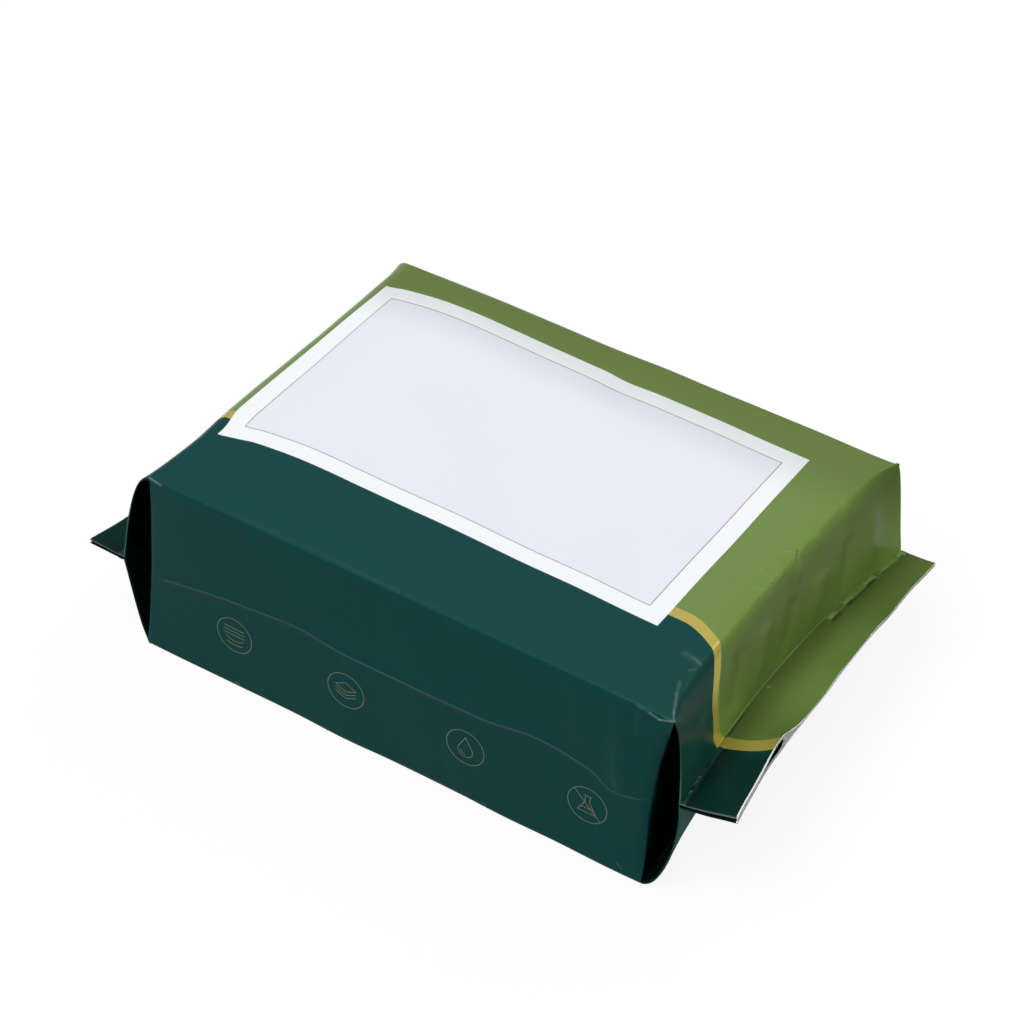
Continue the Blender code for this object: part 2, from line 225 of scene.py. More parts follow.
def flapProfile(end, y, t, up):
    # the end film as a cubic with two handles, from the flat at t = 0 to the root at t = 1;
    # gives x, z and the inward normal
    flatZ = packHeight if up > 0 else 0.0
    curve = end["baseCurve"]
    if up > 0:
        taut = ease((y / halfWidth - filmShape["tautFrom"]) / (1 - filmShape["tautFrom"]))
        curve = [mix(a, b, taut) for a, b in zip(end["topCurve"], end["topCurveBack"])]
    pull, pullDrop, reach, reachDrop = curve
    startX = bendX(end, y, flatZ)
    endX = rootX(end, y)
    endZ = rootZ(end, y) + up * filmShape["weld"] / 2
    swell = end["side"] * curveThrough(end["topSwell"], y) if up > 0 else 0.0
    xs = [startX, mix(startX, endX, pull) + swell, mix(startX, endX, reach) + swell, endX]
    zs = [flatZ, mix(flatZ, endZ, pullDrop), mix(flatZ, endZ, reachDrop), endZ]
    weights = [(1 - t)**3, 3 * t * (1 - t)**2, 3 * t * t * (1 - t), t**3]
    slopes = [(1 - t)**2, 2 * t * (1 - t), t * t]
    x = sum(w * p for w, p in zip(weights, xs))
    z = sum(w * p for w, p in zip(weights, zs))
    dx = sum(s * (b - a) for s, a, b in zip(slopes, xs, xs[1:]))
    dz = sum(s * (b - a) for s, a, b in zip(slopes, zs, zs[1:]))
    length = np.hypot(dx, dz)
    return x, z, up * end["side"] * dz / length, -up * end["side"] * dx / length


def crown(y, share):
    # the top film swells up along its length, more at the back
    across = 1 - np.abs(y / halfWidth)**packShape["crownPower"]
    lag = packShape["crownLag"] * (0.5 - y / packShape["width"])
    rise = curveThrough(packShape["crownAlong"], (share - lag) / (1 - lag))
    return rise * across * (1 + packShape["crownTilt"] * y / halfWidth)


def rollDepth(end, z):
    # the side film rolls in softly before a pocket, but not at the long folds
    return end["rollIn"] * ease(np.minimum(z, packHeight - z) / packShape["foldHold"])


# The ring of film round the pack, from the back lower fold over the top to the base
gussetShares = np.linspace(0, 1, filmGrid["gusset"] + 1)
cornerShares = np.linspace(0, 1, filmGrid["corner"] + 2)[1:-1]


def acrossFilm(corner):
    # y of the top film from front to back, with the gussets' points paired to them
    zone = tuckDepth + filmShape["gussetMargin"]
    front = -halfWidth + zone * gussetShares
    middle = np.linspace(front[-1], -front[-1], filmGrid["middle"] + 2)[1:-1]
    flat = np.concatenate([front, middle, -front[::-1]])
    return flat * (1 - corner / halfWidth)


def joinRing(film, gusset, corner):
    # each part gives x, y, z arrays of station by point; up is 1 for the top and -1 for the
    # base, mirror is 1 for the back and -1 for the front
    def points(part, *where):
        return np.stack(np.broadcast_arrays(*part(*where)), -1)

    parts = [points(gusset, -1, 1), points(gusset, 1, 1)[:, -2::-1], points(corner, 1, 1)[:, ::-1],
             points(film, 1)[:, ::-1], points(corner, 1, -1), points(gusset, 1, -1),
             points(gusset, -1, -1)[:, -2::-1], points(corner, -1, -1)[:, ::-1],
             points(film, -1), points(corner, -1, 1)]
    return np.concatenate(parts, axis=1)


def bodyRings(shares):
    # rings round the stack, at shares of the way from the left end to the right
    share = shares[:, None]
    radius = packShape["foldRadius"]
    swell = packShape["sideBulge"] * 4 * share * (1 - share)

    def lengthwise(y, z, edgeX):
        return mix(edgeX(leftEnd, y, z), edgeX(rightEnd, y, z), share)

    def film(up):
        y = acrossFilm(radius)[None, :]
        z = packHeight if up > 0 else 0.0
        rise = crown(y, share) if up > 0 else 0.0
        return lengthwise(y, z, bendX), y, z + rise

    def sideDepth(end, z, x):
        inward = end["side"] * (x - creaseX(end, z)) / end["rollAlong"] + 1
        return rollDepth(end, z) * (1 - np.sqrt(1 - np.clip(inward, 0, 1)**2))

    def gusset(up, mirror):
        foldZ = packHeight - radius if up > 0 else radius
        z = mix(foldZ, sideMid, gussetShares)[None, :]
        x = mix(creaseX(leftEnd, z), creaseX(rightEnd, z), share)
        depth = sideDepth(leftEnd, z, x) + sideDepth(rightEnd, z, x)
        return x, mirror * (halfWidth - depth + swell * np.sin(np.pi * z / packHeight)), z

    def corner(up, mirror):
        turn = np.pi / 2 * cornerShares[None, :]
        drop = radius * (1 - np.cos(turn))
        z = packHeight - drop if up > 0 else drop
        x = mix(creaseX(leftEnd, z), creaseX(rightEnd, z), share)
        return x, mirror * (halfWidth - radius * (1 - np.sin(turn))), z

    return joinRing(film, gusset, corner)


def tuckRings(end, shares):
    # rings round the tucked end, at shares t of the way from the upright creases to the root
    t = shares[:, None]
    flatEdge = ease(t / filmShape["settled"])
    edgeRadius = filmShape["flap"] / 2
    thick = mix(packShape["foldRadius"], filmShape["flap"], flatEdge)
    cornerWidth = mix(packShape["foldRadius"], edgeRadius, flatEdge)

    def film(up):
        y = acrossFilm(cornerWidth)
        x, z = flapProfile(end, y, t, up)[:2]
        return x, y, z

    def layers(y, up):
        # a film point, and how far the tucked film lies behind it
        x, z, nx, nz = flapProfile(end, y, t, up)
        atRoot = ease(1 - (1 - t) / filmShape["pinch"])
        closed = -up * (filmShape["weld"] - filmShape["slitAtWeld"]) / 2
        intoX = mix(thick * nx, -end["side"] * filmShape["flap"], atRoot)
        return x, z, intoX, mix(thick * nz, closed, atRoot)

    def gusset(up, mirror):
        g = gussetShares[None, :]
        onFlap = g <= t + tiny
        flapDepth = np.maximum(np.minimum(g, t) * tuckDepth, edgeRadius * flatEdge)
        x, z, intoX, intoZ = layers(mirror * (halfWidth - flapDepth), up)
        flapX, flapZ = x + intoX, z + intoZ
        deepY = mirror * (halfWidth - t * tuckDepth)
        x, z, intoX, intoZ = layers(deepY, up)
        deepX, deepZ = x + intoX, z + intoZ
        # from there the tucked film goes down the stack's end to its own crease
        lowZ = mix(sideMid, rootZ(end, deepY), t)
        lowX = mix(creaseX(end, lowZ), rootX(end, deepY), t)
        down = np.clip((g - t) / np.maximum(1 - t, tiny), 0, 1)
        wallZ = mix(deepZ, lowZ, down)
        upright = creaseX(end, wallZ) - mix(creaseX(end, deepZ), creaseX(end, lowZ), down)
        wallX = mix(deepX, lowX - end["side"] * filmShape["flap"] * t, down) + upright * (1 - t)
        wallDepth = t * tuckDepth + rollDepth(end, wallZ) * (1 - t)**8
        z = np.where(onFlap, flapZ, wallZ)
        z[:, -1:] = lowZ
        depth = np.where(onFlap, flapDepth, wallDepth)
        return np.where(onFlap, flapX, wallX), mirror * (halfWidth - depth), z

    def corner(up, mirror):
        x, z, intoX, intoZ = layers(np.full_like(t, mirror * halfWidth), up)
        quarter = np.pi / 2 * cornerShares[None, :]
        half = 2 * quarter
        overFold = packShape["foldRadius"] * (1 - np.sin(quarter))
        aside = mix(overFold, edgeRadius * (1 - np.sin(half)), flatEdge)
        into = mix(1 - np.cos(quarter), (1 - np.cos(half)) / 2, flatEdge)
        return x + into * intoX, mirror * (halfWidth - aside), z + into * intoZ

    return joinRing(film, gusset, corner)


def finRings(end, runs, inset):
    # rings round the flat fin, at shares of the way from its root to its free edge;
    # inset 0 is the printed outside, and one film thickness is the white inside
    run = runs[:, None]
    edgeRadius = filmShape["flap"] / 2
    firm = run**0.4
    loose = run**2.5

    def middle(y):
        x = rootX(end, y) + end["side"] * curveThrough(end["finReach"], y) * run
        return x, rootZ(end, y) + curveThrough(end["finRise"], y) * run

    def outer(y, up):
        # height of the outer film over the slit's middle
        atWeld = filmShape["weld"] / 2
        edge = curveThrough(end["edgeTop"] if up > 0 else end["edgeBase"], y)
        lift = curveThrough(end["mouthTop"], y) * loose if up > 0 else 0.0
        acrossWeld = 2 * run * curveThrough(end["finReach"], y) / filmShape["weldWidth"] - 1
        rib = curveThrough(end["weldRib"], y) * np.clip(1 - acrossWeld**4, 0, 1)
        return up * (mix(atWeld, edge, firm) + lift + rib - inset)

    def slit(y, g):
        # heights of the gusset's upper and lower half, which close in a round to its crease
        half = mix(filmShape["slitAtWeld"], filmShape["slitAtEdge"], run) / 2
        opening = curveThrough(end["mouthSlit"], y) * loose
        closing = np.sqrt(1 - g**filmShape["slitRound"])
        centre = opening / 2
        gap = (half + centre) * closing + inset * (g < 1)
        return centre + gap, centre - gap

    def film(up):
        y = acrossFilm(edgeRadius)[None, :]
        x, z = middle(y)
        return x, y, z + outer(y, up)

    def gusset(up, mirror):
        g = gussetShares[None, :]
        deepest = tuckDepth + end["gussetDeeper"] * run
        depth = np.maximum(g * deepest, edgeRadius) + 1.5 * inset * (g == 1)
        y = mirror * (halfWidth - depth)
        x, z = middle(y)
        heights = slit(y, g)
        drawnIn = filmShape["flap"] * (1 - run)**4
        return x - end["side"] * drawnIn, y, z + (heights[0] if up > 0 else heights[1])

    def corner(up, mirror):
        y = np.array([[mirror * halfWidth]])
        x, z = middle(y)
        over = outer(y, up)
        under = slit(y, np.array([[0.0]]))[0 if up > 0 else 1]
        half = np.pi * cornerShares[None, :]
        aside = edgeRadius - (edgeRadius - inset) * np.sin(half)
        down = (1 - np.cos(half)) / 2
        drawnIn = filmShape["flap"] * (1 - run)**4 * down
        return x - end["side"] * drawnIn, mirror * (halfWidth - aside), z + mix(over, under, down)

    return joinRing(film, gusset, corner)


# Slack and creases of the film. Places are on the flat film: u along the pack from its middle,
# v across it from the top's middle, which falls to the front and then down it
frontFold = -halfWidth
frontFoot = -halfWidth - packHeight
filmWear = {
    # the crease that the side gusset's fold left along the front: u, and height above the foot
    "frontCrease": ((-99, 34), (-81, 37.4), (-65, 39.8), (-38, 42.3), (-18, 40.4), (9, 40.6), (33, 40.8),
                    (56, 43.7), (75, 41), (85, 35.8), (97, 38.5)),
    "frontCreaseHeight": 0.3,
    "frontCreaseWidth": 1.2,
    "frontCreaseFades": 3.0,
    # broad folds of slack film: from u, v to u, v, height and half width
    "folds": (
        (97, -64, 101, -74, 0.7, 2.6),
        (90, -52, 99, -50, 0.5, 3.0),
        (86, -78, 88, -120, 0.5, 4.5),
        (70, -79, 76, -112, 0.35, 6.0),
        (92, 4, 106, 13, 0.6, 3.0),
        (96, 26, 104, 30, 0.5, 3.0),
        (97, 44, 108, 52, 0.5, 4.0),
        (104, -28, 128, -36, -0.5, 4.0),
        (106, -12, 132, -20, 0.7, 4.5),
        (108, 8, 134, -2, -0.5, 4.0),
        (110, 26, 134, 20, 0.6, 5.0),
        (108, 44, 134, 40, -0.6, 4.0),
        (108, 60, 132, 58, 0.5, 4.0),
        (112, -58, 134, -52, 0.4, 4.0),
    ),
    "foldFades": 4.0,
    "sideHold": 8,  # the side film lies straight for this many stations before a pocket
    "weldHold": 0.25,  # the weld holds the film straight over this share of the way to it
    "finShare": 1.6,  # slack of the fins
    "finFree": 14.0,
    "finPace": 1.7,  # and how much closer its waves are
    "baseShare": 0.3,  # and where the pack's weight lies on the base
    # u, v, height and radius
    "dents": ((4.0, 59.0, -0.8, 9.0), (-4.0, 63.0, 0.35, 5.0), (-97.0, -46.0, -0.6, 9.0)),
}


# Painted light and shade on the ink: 1 on the open film, less where it lies in a fold or in shade, more
# where light is painted on
paintedShades = {
    # painted shade: film tucked into a pocket is darkened nearly to black
    "pocket": 0.10,
    "pocketRuns": 3,  # stations past the upright crease
    # painted shade: the doubled film of a fin is darker, most of all near the weld, and varies along it
    "finAtWeld": 0.42,
    "finAtEdge": 0.60,
    "finFrom": 2.0,  # distance past the weld where it starts to lighten, and over how far
    "finOver": 13.0,
    "finAlong": ((-78, 1.0), (-30, 1.0), (-10, 1.22), (10, 1.12), (30, 1.0), (50, 0.8), (78, 0.92)),
    "finTeal": 0.72,  # the front part of a fin has deeper painted shade
    "tealUnder": -44.0,
    "tealOver": 4.0,
    "weld": 1.0,
    "weldEnds": 2.6,
    "weldFades": 0.5,
    "ribFrom": 0.12,  # the weld strip is painted lighter where its rib is higher than this
    "ribOver": 0.45,
    "lineAt": 3.0,  # a painted shadow line runs along its outer side
    "lineHalf": 0.5,
    "lineDark": 0.65,
    "nearWeld": 36.0,  # painted light: the end film is lighter towards the fin, most of all at the front
    "atWeld": 1.6,
    "atWeldFront": 0.75,
    "frontFrom": -10.0,
    "frontOver": 45.0,
    "back": 0.79,  # painted shade: the top film is darker where it bends down towards its back fold
    "backFrom": 36.0,
    "backOver": 30.0,
}


def softWaves(u, v):
    # a sum of sines of random direction, length and phase
    rng = np.random.default_rng(packShape["waveSeed"])
    total = np.zeros(np.broadcast(u, v).shape)
    count = packShape["waveCount"]
    headings = rng.uniform(0, np.pi, count)
    lengths = rng.uniform(packShape["shortestWave"], packShape["longestWave"], count)
    phases = rng.uniform(0, 2 * np.pi, count)
    for heading, length, phase in zip(headings, lengths, phases):
        along = (u * np.cos(heading) + v * np.sin(heading)) / length
        total += np.sin(2 * np.pi * along + phase)
    return packShape["waveHeight"] * total / np.sqrt(count / 2)


def pressedMarks(u, v):
    # ridges exp(-(distance / half width)^2) along slack folds, round dents, and the front crease
    total = np.zeros(np.broadcast(u, v).shape)
    for u0, v0, u1, v1, height, halfSpan in filmWear["folds"]:
        length = np.hypot(u1 - u0, v1 - v0)
        along = ((u - u0) * (u1 - u0) + (v - v0) * (v1 - v0)) / length
        aside = ((v - v0) * (u1 - u0) - (u - u0) * (v1 - v0)) / length
        ends = ease(along / filmWear["foldFades"]) * ease((length - along) / filmWear["foldFades"])
        total += height * np.exp(-(aside / halfSpan)**2) * ends
    for u0, v0, height, radius in filmWear["dents"]:
        total += height * np.exp(-((u - u0)**2 + (v - v0)**2) / radius**2)
    crease = filmWear["frontCrease"]
    aside = v - (frontFoot + curveThrough(crease, u))
    ends = ease((u - crease[0][0]) / filmWear["frontCreaseFades"])
    ends = ends * ease((crease[-1][0] - u) / filmWear["frontCreaseFades"])
    return total + filmWear["frontCreaseHeight"] * np.exp(-(aside / filmWear["frontCreaseWidth"])**2) * ends


def paintedShade(u, v, pastCrease, pastWeld, gussetColumns):
    # products of eased steps of painted shade and light: film tucked into a pocket is painted nearly black,
    # the doubled film of a fin is painted dull, most of all near the weld, and the end film is painted
    # lighter towards the weld
    shades = paintedShades
    pocket = mix(1.0, shades["pocket"], ease(pastCrease / shades["pocketRuns"]))[:, None]
    outward = ease((pastWeld - shades["finFrom"]) / shades["finOver"])
    fin = mix(shades["finAtWeld"], shades["finAtEdge"], outward)
    fin = mix(fin, fin * shades["finTeal"], ease((shades["tealUnder"] - v) / shades["tealOver"]))
    height = np.where(u > 0, curveThrough(rightEnd["weldRib"], v), curveThrough(leftEnd["weldRib"], v))
    strip = ease((height - shades["ribFrom"]) / shades["ribOver"])
    # painted light on the weld's raised strip, and a painted shadow line beside it
    onStrip = ease((shades["weldEnds"] - pastWeld) / shades["weldFades"])
    dark = strip * np.exp(-((pastWeld - shades["lineAt"]) / shades["lineHalf"])**2)
    fin = mix(fin, shades["weld"], onStrip * strip) * (1 - shades["lineDark"] * dark)
    fin = fin * curveThrough(shades["finAlong"], v)
    atFront = ease((shades["frontFrom"] - v) / shades["frontOver"])
    atWeld = shades["atWeld"] + shades["atWeldFront"] * atFront
    onEnd = ease(1 + pastWeld / shades["nearWeld"])
    # painted shade towards the back fold
    back = mix(1.0, shades["back"], ease((v - shades["backFrom"]) / shades["backOver"]))
    film = np.where(pastWeld > 0, fin, mix(back, atWeld, onEnd))
    return np.where(gussetColumns[None, :], np.broadcast_to(pocket, u.shape), film)


def bodyShares():
    # even along the stack, and closer where the side film rolls into the pockets
    length = rightEnd["creaseMid"] - leftEnd["creaseMid"]
    turn = np.linspace(0, np.pi / 2, filmGrid["roll"] + 1)[:-1]
    near = (1 - np.sin(turn)) / length
    left, right = near * leftEnd["rollAlong"], 1 - near * rightEnd["rollAlong"]
    even = np.linspace(left[0], right[0], filmGrid["body"] + 2)[1:-1]
    return np.concatenate([left[::-1], even, right])


def finRuns():
    # close together over the weld, then even to the free edge
    weldEnd = filmShape["weldWidth"] * 1.3 / curveThrough(rightEnd["finReach"], 0.0)
    half = filmGrid["fin"] // 2
    return np.concatenate([np.linspace(0, weldEnd, half + 1)[1:], np.linspace(weldEnd, 1, half + 1)[1:]])


def endStations(end):
    # stations of one end from the upright creases out to the free edge and back inside it
    inward = np.linspace(1, 1 - filmShape["cavityShare"], filmGrid["cavity"])
    return np.concatenate([tuckRings(end, gussetShares), finRings(end, finRuns(), 0.0),
                           finRings(end, inward, filmShape["thickness"])])


def ringAcross(bodyRing):
    # v of each point of a ring, from the back lower fold over the top and front to the base
    gussetCount, cornerCount = len(gussetShares), len(cornerShares)
    radius = packShape["foldRadius"]
    sideSpan = 2 * gussetCount - 1
    filmCount = 2 * gussetCount + filmGrid["middle"]
    overFold = mix(-radius, radius, cornerShares)
    backSide = halfWidth + packHeight - bodyRing[:sideSpan, 2]
    top = bodyRing[sideSpan + cornerCount:sideSpan + cornerCount + filmCount, 1]
    baseV = frontFoot - halfWidth + top
    return np.concatenate([backSide, halfWidth + overFold[::-1], top, frontFold - overFold,
                           -backSide[::-1], frontFoot - overFold, baseV,
                           baseV[-1] - radius - overFold])


def capFaces(ring):
    # strips of faces that close the deepest ring of a free edge, as the right end needs them
    gussetCount, cornerCount = len(gussetShares), len(cornerShares)
    filmCount = 2 * gussetCount + filmGrid["middle"]
    sideSpan = 2 * gussetCount - 1
    k = np.arange(gussetCount)
    backLower = k
    backUpper = sideSpan - 1 - k
    top = sideSpan + cornerCount + filmCount - 1 - np.arange(filmCount)  # front to back
    frontUpper = top[0] + 1 + cornerCount + k
    frontLower = frontUpper[0] + sideSpan - 1 - k
    base = frontUpper[0] + sideSpan + cornerCount + np.arange(filmCount)  # front to back
    crease = slice(gussetCount - 1, filmCount - gussetCount + 1)

    def strip(over, under):
        return np.stack([over[:-1], under[:-1], under[1:], over[1:]], 1).tolist()

    faces = strip(top[:gussetCount], frontUpper) + strip(frontLower, base[:gussetCount])
    faces += strip(backUpper, top[::-1][:gussetCount]) + strip(base[::-1][:gussetCount], backLower)
    faces += strip(top[crease], base[crease])
    frontCrease, backCrease = frontUpper[-1], backUpper[-1]
    faces.append([top[gussetCount - 1], frontCrease, base[gussetCount - 1]])
    faces.append([backCrease, top[-gussetCount], base[-gussetCount]])
    faces.append(list(range(top[0], frontUpper[0] + 1)))
    faces.append(list(range(frontLower[0], base[0] + 1)))
    faces.append(list(range(backUpper[0], top[-1] + 1)))
    faces.append([*range(base[-1], ring), 0])
    return faces


def surfaceNormals(points):
    # the cross product of the grid's two directions
    along = np.gradient(points, axis=0)
    around = np.roll(points, -1, axis=1) - np.roll(points, 1, axis=1)
    normals = np.cross(around, along)
    return normals / np.maximum(np.linalg.norm(normals, axis=2, keepdims=True), tiny)


def makeWrapper():
    print("shaping the film")
    left, body, right = endStations(leftEnd), bodyRings(bodyShares()), endStations(rightEnd)
    points = np.concatenate([left[::-1], body, right])
    stations, ring = points.shape[:2]
    firstBody, lastBody = len(left), len(left) + len(body) - 1
    cavity = filmGrid["cavity"]

    # u is the distance along the film, and equals x on the stack
    steps = np.linalg.norm(np.diff(points, axis=0), axis=2)
    u = points[:, :, 0].copy()
    u[lastBody:] = u[lastBody] + np.concatenate([np.zeros((1, ring)), np.cumsum(steps[lastBody:], axis=0)])
    backward = np.cumsum(steps[:firstBody][::-1], axis=0)[::-1]
    u[:firstBody] = u[firstBody] - backward
    v = ringAcross(body[len(body) // 2])
    inside = np.zeros(stations, bool)
    inside[:cavity] = inside[-cavity:] = True
    leftEdge, rightEdge = cavity, stations - 1 - cavity
    toEdge = np.maximum(u - u[rightEdge], u[leftEdge] - u)  # below 0 on the outside, 0 at the free edge
    weldStation = len(gussetShares)
    pastWeld = np.maximum(u - u[lastBody + weldStation], u[firstBody - weldStation] - u)

    # slack and creases stand out along the normal, but not in the pockets, at the weld or past it
    relief = softWaves(u, v) + pressedMarks(u, v)
    gussetColumns = np.abs(np.abs(v) - halfWidth - midHeight) < midHeight
    pastCrease = np.maximum(firstBody - np.arange(stations), np.arange(stations) - lastBody)
    # painted shade and light of the film
    shade = paintedShade(u, v, pastCrease, pastWeld, gussetColumns)
    sideHold = ease(-pastCrease[:, None] / filmWear["sideHold"])
    hold = np.where(gussetColumns[None, :], sideHold, 1.0)
    tucked = pastCrease / len(gussetShares)
    hold = hold * ease((1 - tucked) / filmWear["weldHold"])[:, None]
    hold = np.where((v < frontFoot)[None, :], hold * filmWear["baseShare"], hold)
    points = points + surfaceNormals(points) * (relief * hold)[:, :, None]
    points[:, :, 2] = np.maximum(points[:, :, 2], 0)

    # the back of the stack stands a little higher: it rises with y and with the cube of z
    x, y, z = (points[:, :, axis] for axis in range(3))
    z += packShape["backRise"] * (0.5 + y / packShape["width"]) * (z / packHeight)**3

    # all layers of a fin rise and fall together
    weldX = np.where(x > 0, rootX(rightEnd, y), rootX(leftEnd, y))
    free = np.where(tucked > 1, 1.0, 0.0)[:, None] * ease(np.abs(x - weldX) / filmWear["finFree"])
    pace = filmWear["finPace"]
    z += filmWear["finShare"] * softWaves(x * pace, y * pace) * free

    index = np.arange(stations * ring).reshape(stations, ring)
    after = np.roll(index, -1, axis=1)
    quads = np.stack([index[:-1], after[:-1], after[1:], index[1:]], -1).reshape(-1, 4).tolist()
    closing = capFaces(ring)
    lastRing = int(index[-1, 0])
    caps = [[int(lastRing + k) for k in face] for face in closing]
    caps += [[int(k) for k in face[::-1]] for face in closing]

    mesh = bpy.data.meshes.new("filmWrapper")
    mesh.from_pydata((points.reshape(-1, 3) * mm).tolist(), [], quads + caps)

    def onCorners(grid):
        # a grid's values at the four corners of each of its faces
        beside = np.roll(grid, -1, axis=1)
        return np.stack([grid[:-1], beside[:-1], beside[1:], grid[1:]], -1)

    # the film's own coordinates for the print: u, v and the distance to the free edge, which is 1 on the
    # white inside; and for its wear and painted light: height over the front crease, distance past the weld
    # and painted shade
    capLoops = sum(len(face) for face in caps)
    nextV = np.append(v[1:], v[-1] - 1.0)
    loopV = np.broadcast_to(np.stack([v, nextV, nextV, v], -1), (stations - 1, ring, 4))
    faceInside = (inside[:-1] | inside[1:])[:, None, None]
    loopEdge = np.where(faceInside, 1.0, onCorners(toEdge))
    overCrease = v - (frontFoot + curveThrough(filmWear["frontCrease"], u))
    for name, fields, capValue in (("film", (onCorners(u), loopV, loopEdge), (0, 0, 1)),
                                   ("wearAndPaintedLight", map(onCorners, (overCrease, pastWeld, shade)), (40, 10, 1))):
        onQuads = np.stack(list(fields), -1).reshape(-1, 3)
        values = np.concatenate([onQuads, np.tile(capValue, (capLoops, 1))])
        attribute = mesh.attributes.new(name, "FLOAT_VECTOR", "CORNER")
        attribute.data.foreach_set("vector", values.astype(float).ravel())
    mesh.shade_smooth()
    mesh.set_sharp_from_angle(angle=np.radians(filmGrid["sharpAngle"]))
    wrapper = bpy.data.objects.new("filmWrapper", mesh)
    bpy.context.scene.collection.objects.link(wrapper)
    return wrapper


class Field:
    # a socket of a shader tree; arithmetic on it adds Math nodes
    def __init__(self, tree, socket=None):
        self.tree = tree
        self.socket = socket

    def node(self, kind, settings, sockets, out=0):
        # a node of any type: its settings first, then the values or links of its sockets
        made = self.tree.nodes.new(kind)
        for name, value in settings.items():
            setattr(made, name, value)
        for name, value in sockets.items():
            if isinstance(value, Field):
                self.tree.links.new(value.socket, made.inputs[name])
            else:
                made.inputs[name].default_value = value
        return Field(self.tree, made.outputs[out])

    def math(self, operation, *values):
        return self.node("ShaderNodeMath", {"operation": operation}, dict(enumerate(values)))

    def vector(self, operation, sockets, out=0):
        return self.node("ShaderNodeVectorMath", {"operation": operation}, {0: self, **sockets}, out)

    def __add__(self, other):
        return self.math("ADD", self, other)

    def __radd__(self, other):
        return self.math("ADD", other, self)

    def __sub__(self, other):
        return self.math("SUBTRACT", self, other)

    def __rsub__(self, other):
        return self.math("SUBTRACT", other, self)

    def __mul__(self, other):
        return self.math("MULTIPLY", self, other)

    def __rmul__(self, other):
        return self.math("MULTIPLY", other, self)

    def __truediv__(self, other):
        return self.math("DIVIDE", self, other)

    def __neg__(self):
        return self.math("MULTIPLY", self, -1.0)

    def __abs__(self):
        return self.math("ABSOLUTE", self)

    def most(self, other):
        return self.math("MAXIMUM", self, other)

    def least(self, other):
        return self.math("MINIMUM", self, other)

    def rise(self, low, high):
        # 0 below low and 1 above high, with a level start and finish
        settings = {"interpolation_type": "SMOOTHSTEP"}
        sockets = {"Value": self, "From Min": low, "From Max": high}
        return self.node("ShaderNodeMapRange", settings, sockets)

    def line(self, halfSpan):
        # 1 where a distance is under half a line's width
        return 1 - abs(self).rise(halfSpan - printShape["soft"], halfSpan + printShape["soft"])

    def under(self, limit):
        # 1 below the limit
        return 1 - self.rise(limit - printShape["soft"], limit + printShape["soft"])

    def length(self, other):
        # the length of the vector of two values
        return self.math("SQRT", self * self + other * other)


def ink(red, green, blue):
    # a printed colour as a screen shows it, 0 to 255, made linear
    levels = np.array([red, green, blue]) / 255
    linear = np.where(levels > 0.04045, ((levels + 0.055) / 1.055)**2.4, levels / 12.92)
    return (*linear.tolist(), 1)


# Print on the film, in millimetres of the flat film
printShape = {
    "soft": 0.12,  # half the softness of a printed edge
    "foldLine": 0.75,  # the film is pressed white along the edges of its flaps, and has a painted highlight along the fins' folded edges
    "edgeLine": 0.12,  # and cut to white at the free edge
    "edgeWider": 0.4,  # with a wider line towards the front
    "edgeNarrows": (-34, -20),
    "edgeSoft": 0.05,
    "bandCentre": -33.7,  # the gold band, between the teal front and the green back
    "bandHalf": 2.25,
    "bandWider": (118, 136, 0.6),  # it is wider on the fin: u, u and by how much
    "bandTurn": (82, 116, -14.5),  # it swings forward over the right shoulder
    "bandReturn": (126, 135, 4.0),  # and back again
    "bandOnFin": (134, 154, 4.0),
    "bandStops": (frontFold - 30, frontFold - 29),  # it isn't on the base
    "panelLeft": -99.6,
    "panelRight": 77.0,
    "panelFront": -42.6,
    "panelBack": 60.8,
    "cornerTurn": (14.0, 2.3),  # its corner is drawn over the left shoulder: over how far, by how much
    "borderInset": 7.0,
    "borderHalf": 0.17,
    "iconPlaces": (-66.6, -19.5, 28.6, 75.7),  # the four round pictograms
    "iconHeight": 24.1,
    "iconRadius": 7.4,
    "iconLine": 0.15,
}
printColours = {
    "teal": ink(10, 70, 69),
    # the top's teal carries a painted sky reflection
    "tealTopPaintedSheen": ink(25, 71, 70),
    "green": ink(116, 140, 77),
    "gold": ink(204, 184, 100),
    "icon": ink(120, 130, 94),
    "panel": ink(232, 234, 245),
    "margin": ink(243, 247, 250),
    "border": ink(160, 138, 104),
    "inside": ink(246, 248, 250),
    # whites for pressed creases, also used for painted highlights and glints
    "pressed": ink(176, 196, 196),
    "stretched": ink(150, 178, 150),
}
filmFinish = {
    "roughness": 0.32,
    "unevenness": 0.08,
    "unevenScale": 0.05,
    "panelRoughness": 0.42,
    "specular": 0.05,
    "goldMetallic": 0.35,
    "microBump": 0.05,
    "microScale": 0.4,
    "slackBump": 0.25,
    "slackScale": 0.06,
    "coatRoughness": 0.16,
    "creaseCoat": 0.35,  # a sharp crease is glossier, stands out, and is whiter, pressed white and with a painted highlight, or darker with a painted shadow
    "creaseBump": 0.35,
    "creaseWhite": 0.7,
    "creaseDark": 0.8,
    "creaseLit": 0.85,  # how much of the painted shade a whitened crease is free of
    "goldLit": 0.35,  # and the gold band
    "deepOver": (-44, -32),  # painted shade: the ends' film is tinted deeper and greener
    "deep": (0.93, 1.0, 0.78, 1),
}
